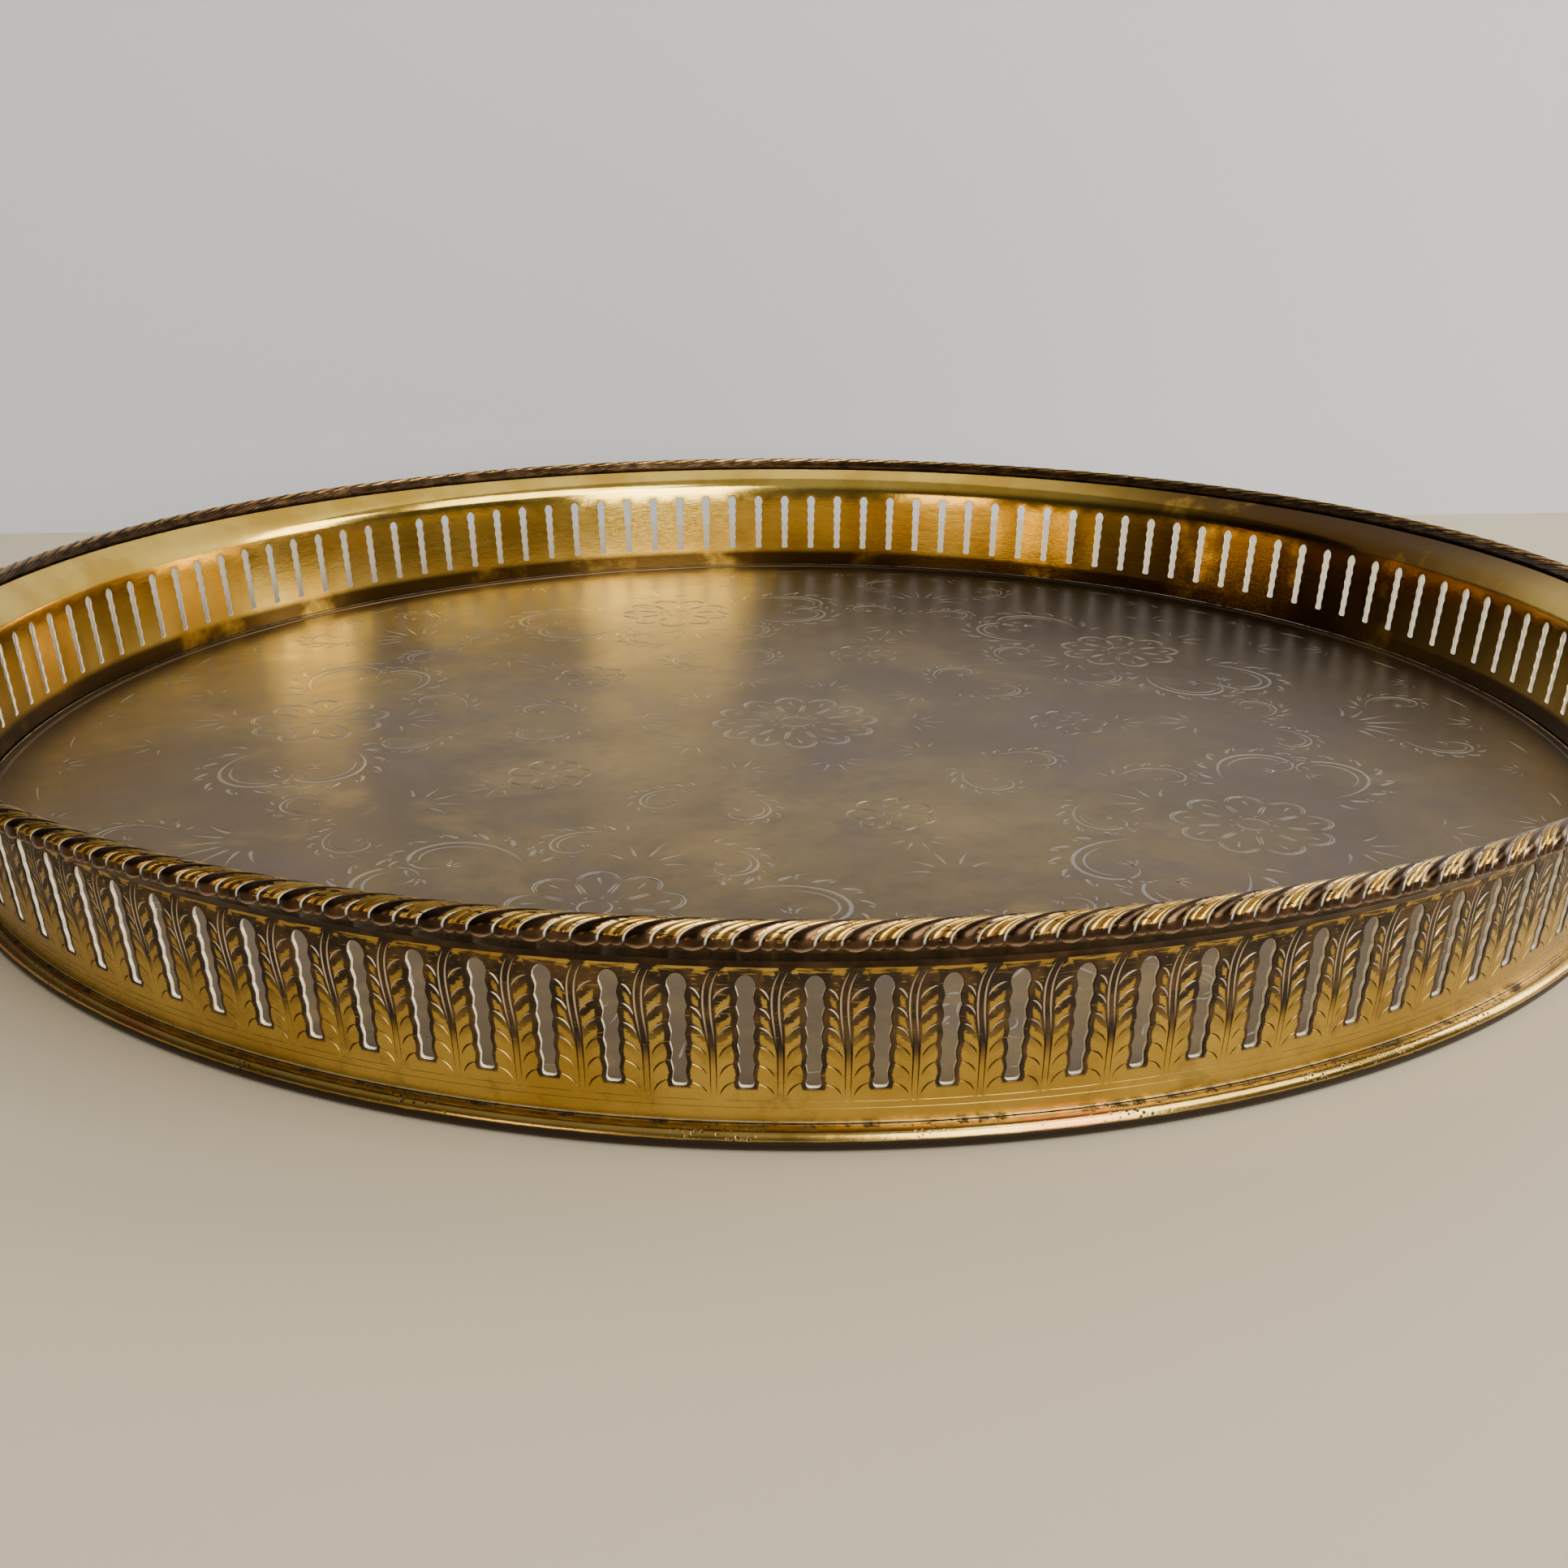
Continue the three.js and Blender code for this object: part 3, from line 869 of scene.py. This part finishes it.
def border_finish():
    """Brown lobes with worn gold crests, pale lines in the grooves that are partly polish residue and partly
    painted highlight, and a painted highlight on each pearl.
    """
    f = Finish("border_brass")
    u, v = f.pattern()
    turn = f.times(v, 360.0)
    phase = f.calculate("FRACT", u)
    ragged = f.noise(1.0, 4, 0.65, f.join(f.times(u, 2.4), f.times(v, 26.0), 0.0))
    cut = f.attribute("cut")
    on_ridges = f.times(f.step(phase, 0.0, 0.04), f.step(phase, 0.60, 0.50))
    beside_groove = f.step(phase, 0.84, 0.94)
    upper = f.times(f.step(turn, -6.0, 22.0), f.step(turn, 150.0, 125.0))
    worn = f.times(f.most(on_ridges, beside_groove), upper)
    worn = f.add(f.times(worn, 0.70), f.times(upper, 0.12))
    worn = f.step(f.add(worn, f.times(f.less(ragged, 0.5), 2.4)), 0.54, 0.70)
    gold = f.mix(f.step(f.noise(120.0), 0.4, 0.7), (0.36, 0.20, 0.035), (0.52, 0.33, 0.085))
    brown = f.mix(f.step(f.noise(260.0, 3), 0.38, 0.68), (0.030, 0.017, 0.009), (0.085, 0.048, 0.024))
    colour = f.mix(worn, brown, gold)
    # Pale lines along the grooves: partly polish residue, partly painted highlight.
    groove_polish_and_highlight = f.times(f.step(cut, 0.60, 0.92), f.step(turn, -30.0, 2.0))
    groove_polish_and_highlight = f.times(groove_polish_and_highlight, f.step(ragged, 0.26, 0.42))
    groove_polish_and_highlight = f.times(groove_polish_and_highlight, f.step(turn, 150.0, 120.0))
    colour = f.mix(f.times(groove_polish_and_highlight, 0.8), colour, GROOVE_RESIDUE_AND_HIGHLIGHT)
    pearl = f.attribute("pearl")
    # Painted highlight: the small pearl at each ridge's lower end is painted pale pink, as the light it
    # catches.
    colour = f.mix(f.times(pearl, 0.9), colour, (0.85, 0.58, 0.42))
    roughness = f.add(f.less(0.18, f.times(pearl, 0.08)), f.times(groove_polish_and_highlight, 0.25))
    roughness = f.add(roughness, f.times(f.noise(400.0, 2), 0.14))
    f.bump(f.noise(700.0, 3), 0.02)
    return f.finish(colour, roughness, f.less(1.0, f.times(groove_polish_and_highlight, 0.7)))


def moulding_finish():
    """Handling keeps the half-round bright; its seam with the gallery is dark and pitted, and its foot is
    dark, partly tarnish and partly painted shade where the bead turns under towards the table.
    """
    f = Finish("moulding_brass")
    _, _, z = f.split()
    height = f.calculate("DIVIDE", z, MM)
    pits = f.times(f.step(f.specks(1300.0), 0.36, 0.20), f.step(f.noise(60.0), 0.48, 0.60))
    ragged = f.noise(300.0, 4, 0.7)
    seam = f.step(f.add(height, f.times(ragged, 0.4)), BASE_TOP + 0.12, BASE_TOP + 0.22)
    # Painted shade, partly tarnish: the bead darkens towards its foot, where it turns under towards the
    # table.
    foot = f.step(f.add(height, f.times(ragged, 0.3)), 2.12, 1.92)
    tarnish = f.noise(26.0, 4, 0.6, warp=0.6)
    gold = f.mix(f.step(tarnish, 0.35, 0.55), (0.34, 0.20, 0.035), (0.50, 0.33, 0.085))
    gold = f.mix(f.times(f.step(tarnish, 0.56, 0.64), 0.7), gold, (0.50, 0.18, 0.06))
    gold = f.mix(f.times(f.step(f.noise(40.0, 3), 0.58, 0.68), 0.5), gold, (0.27, 0.31, 0.24))
    gold = f.mix(f.times(seam, 0.8), gold, (0.17, 0.14, 0.09))
    crust = f.times(seam, f.step(f.noise(420.0, 3, 0.7), 0.52, 0.60))
    dark = f.most(f.most(crust, foot), pits)
    colour = f.mix(dark, gold, BROWN)
    roughness = f.add(0.13, f.times(dark, 0.3))
    roughness = f.add(roughness, f.times(f.noise(150.0), 0.12))
    f.bump(f.less(f.noise(500.0, 2), f.times(pits, 0.8)), 0.03)
    return f.finish(colour, roughness, f.less(1.0, f.times(dark, 0.3)))


def floor_finish():
    """Tarnished bronze-brown, clouded with olive, gold and grey-violet; painted shade on its right rear side
    and round its edge; pale in the engraving, partly residue and partly painted highlight.
    """
    f = Finish("floor_brass")
    clouds = f.noise(14.0, 5, 0.6, warp=0.8)
    patches = f.noise(30.0, 4, 0.6, warp=0.4)
    grain = f.noise(160.0, 4, 0.7)
    colour = f.mix(f.step(clouds, 0.38, 0.60), (0.138, 0.094, 0.046), (0.210, 0.148, 0.060))
    colour = f.mix(f.times(f.step(patches, 0.52, 0.66), 0.75), colour, (0.145, 0.105, 0.085))
    colour = f.mix(f.times(f.step(patches, 0.46, 0.34), 0.6), colour, (0.30, 0.20, 0.065))
    colour = f.mix(f.times(f.step(grain, 0.42, 0.70), 0.35), colour, (0.10, 0.065, 0.035))
    # Painted shade: the floor is darkened towards its right rear side.
    side = right_rear(f, -0.02, 0.13)
    colour = f.mix(f.times(side, 0.6), colour, (0.080, 0.055, 0.042))
    # Painted shade: a dark ring round the floor's edge, in the corner where it meets the gallery.
    reach = f.tree.nodes.new("ShaderNodeVectorMath")
    reach.operation = "LENGTH"
    f.feed(reach.inputs[0], f.place)
    colour = f.mix(f.times(f.step(reach.outputs["Value"], 0.142, 0.150), 0.85), colour, (0.060, 0.035, 0.018))
    # The engraving is painted pale, partly residue and partly a painted highlight of the cut lines.
    cut = f.step(f.attribute("cut"), 0.05, 0.60)
    colour = f.mix(f.times(cut, 0.50), colour, (0.50, 0.48, 0.42))
    scratches = f.noise(120.0, 3, 0.6)
    roughness = f.add(0.24, f.times(patches, 0.16))
    roughness = f.add(roughness, f.times(scratches, 0.08))
    f.bump(f.add(f.times(grain, 0.6), f.noise(900.0, 2)), 0.02)
    return f.finish(colour, roughness, 1.0)


def wire_finish():
    """Drawn wire, dull where flux has stained it."""
    f = Finish("wire_brass")
    stain = f.noise(220.0, 4, 0.65)
    colour = f.mix(f.step(stain, 0.4, 0.65), (0.52, 0.37, 0.18), (0.20, 0.13, 0.07))
    f.bump(stain, 0.03)
    return f.finish(colour, f.add(0.34, f.times(stain, 0.2)), 1.0)


# The stage


def studio_material(name, colour, roughness):
    f = Finish(name)
    f.shader.inputs["Roughness"].default_value = roughness
    drift = f.noise(3.0, 3, 0.5)
    shade = f.mix(drift, colour, tuple(c * 0.93 for c in colour))
    f.feed(f.shader.inputs["Base Color"], shade)
    return f.material


def clear_from_behind(material):
    """The backdrop hides nothing when it is looked at from its back."""
    tree = material.node_tree
    side = tree.nodes.new("ShaderNodeNewGeometry")
    clear = tree.nodes.new("ShaderNodeBsdfTransparent")
    either = tree.nodes.new("ShaderNodeMixShader")
    tree.links.new(side.outputs["Backfacing"], either.inputs[0])
    tree.links.new(tree.nodes["Principled BSDF"].outputs["BSDF"], either.inputs[1])
    tree.links.new(clear.outputs["BSDF"], either.inputs[2])
    tree.links.new(either.outputs[0], tree.nodes["Material Output"].inputs["Surface"])


def stage_plane(name, size, location, rotation, material):
    bpy.ops.mesh.primitive_plane_add(size=size, location=location, rotation=rotation)
    plane = bpy.context.object
    plane.name = name
    plane.data.materials.append(material)
    return plane


def soft_light(name, place, target, size, power, colour):
    lamp = bpy.data.lights.new(name, "AREA")
    lamp.shape = "RECTANGLE"
    lamp.size, lamp.size_y = size
    lamp.energy = power
    lamp.color = colour
    holder = bpy.data.objects.new(name, lamp)
    bpy.context.scene.collection.objects.link(holder)
    holder.location = place
    holder.rotation_euler = (Vector(target) - Vector(place)).to_track_quat("-Z", "Y").to_euler()


def set_stage():
    table = studio_material("pale_table", (0.52, 0.435, 0.30), 0.6)
    wall = studio_material("pale_wall", (0.56, 0.57, 0.60), 0.8)
    clear_from_behind(wall)
    stage_plane("table_top", 6, (0, 0, 0), (0, 0, 0), table)
    stage_plane("back_wall", 6, (2.65, 0.235, 0), (math.pi / 2, 0, 0), wall)
    soft_light("window_behind", (0.50, -1.36, 0.68), (0, 0, 0.05), (0.75, 1.2), 30, (1.0, 0.97, 0.92))
    soft_light("window_right", (1.5, 0.05, 0.6), (0, 0, 0.02), (0.45, 0.9), 14, (1.0, 0.97, 0.93))
    soft_light("lamp_left", (-0.85, -1.25, 0.14), (0, 0, 0.02), (0.4, 0.2), 1.6, (1.0, 0.75, 0.45))
    soft_light("panel_right", (1.0, -0.8, 1.3), (0.1, 0.1, 0), (1.1, 1.1), 26, (0.97, 0.98, 1.0))
    world = bpy.data.worlds.new("room")
    bpy.context.scene.world = world
    world.use_nodes = True
    background = world.node_tree.nodes["Background"]
    background.inputs["Color"].default_value = (0.80, 0.78, 0.74, 1)
    # A pale ceiling over a dimmer room.
    place = world.node_tree.nodes.new("ShaderNodeTexCoord")
    split = world.node_tree.nodes.new("ShaderNodeSeparateXYZ")
    height = world.node_tree.nodes.new("ShaderNodeMapRange")
    world.node_tree.links.new(place.outputs["Generated"], split.inputs[0])
    world.node_tree.links.new(split.outputs["Z"], height.inputs["Value"])
    for name, value in (("From Min", 0.35), ("From Max", 0.75), ("To Min", 0.10), ("To Max", 0.50)):
        height.inputs[name].default_value = value
    world.node_tree.links.new(height.outputs["Result"], background.inputs["Strength"])


def set_camera():
    """The camera stands close in front of the tray and looks a little down across it."""
    place = Vector((-0.0290, -0.3145, 0.1033))
    pitch, roll, yaw = 0.3469, 0.0028, -0.0864
    ahead = Vector((math.sin(-yaw) * math.cos(pitch), math.cos(yaw) * math.cos(pitch), -math.sin(pitch)))
    right = ahead.cross(Vector((0, 0, 1))).normalized()
    up = right.cross(ahead)
    tilted_right = math.cos(roll) * right + math.sin(roll) * up
    tilted_up = -math.sin(roll) * right + math.cos(roll) * up
    lens = bpy.data.cameras.new("camera")
    lens.sensor_width = 36
    lens.lens = 36.71
    lens.clip_start = 0.01
    camera = bpy.data.objects.new("camera", lens)
    bpy.context.scene.collection.objects.link(camera)
    turn = Matrix((tilted_right, tilted_up, -ahead)).transposed().to_4x4()
    camera.matrix_world = Matrix.Translation(place) @ turn
    bpy.context.scene.camera = camera


def fit_piece(piece, node, material):
    piece.data.materials.append(material)
    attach(piece, "root")
    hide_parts(node)


set_camera()
fit_piece(engraved_floor(), "floor_plate", floor_finish())
fit_piece(half_round_base(), "base_moulding", moulding_finish())
fit_piece(pierced_gallery(), "gallery_band", gallery_finish())
fit_piece(gadroon_border(), "gadroon_border", border_finish())
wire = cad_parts["border_wire"]
wire.data.materials.clear()
wire.data.materials.append(wire_finish())
set_stage()
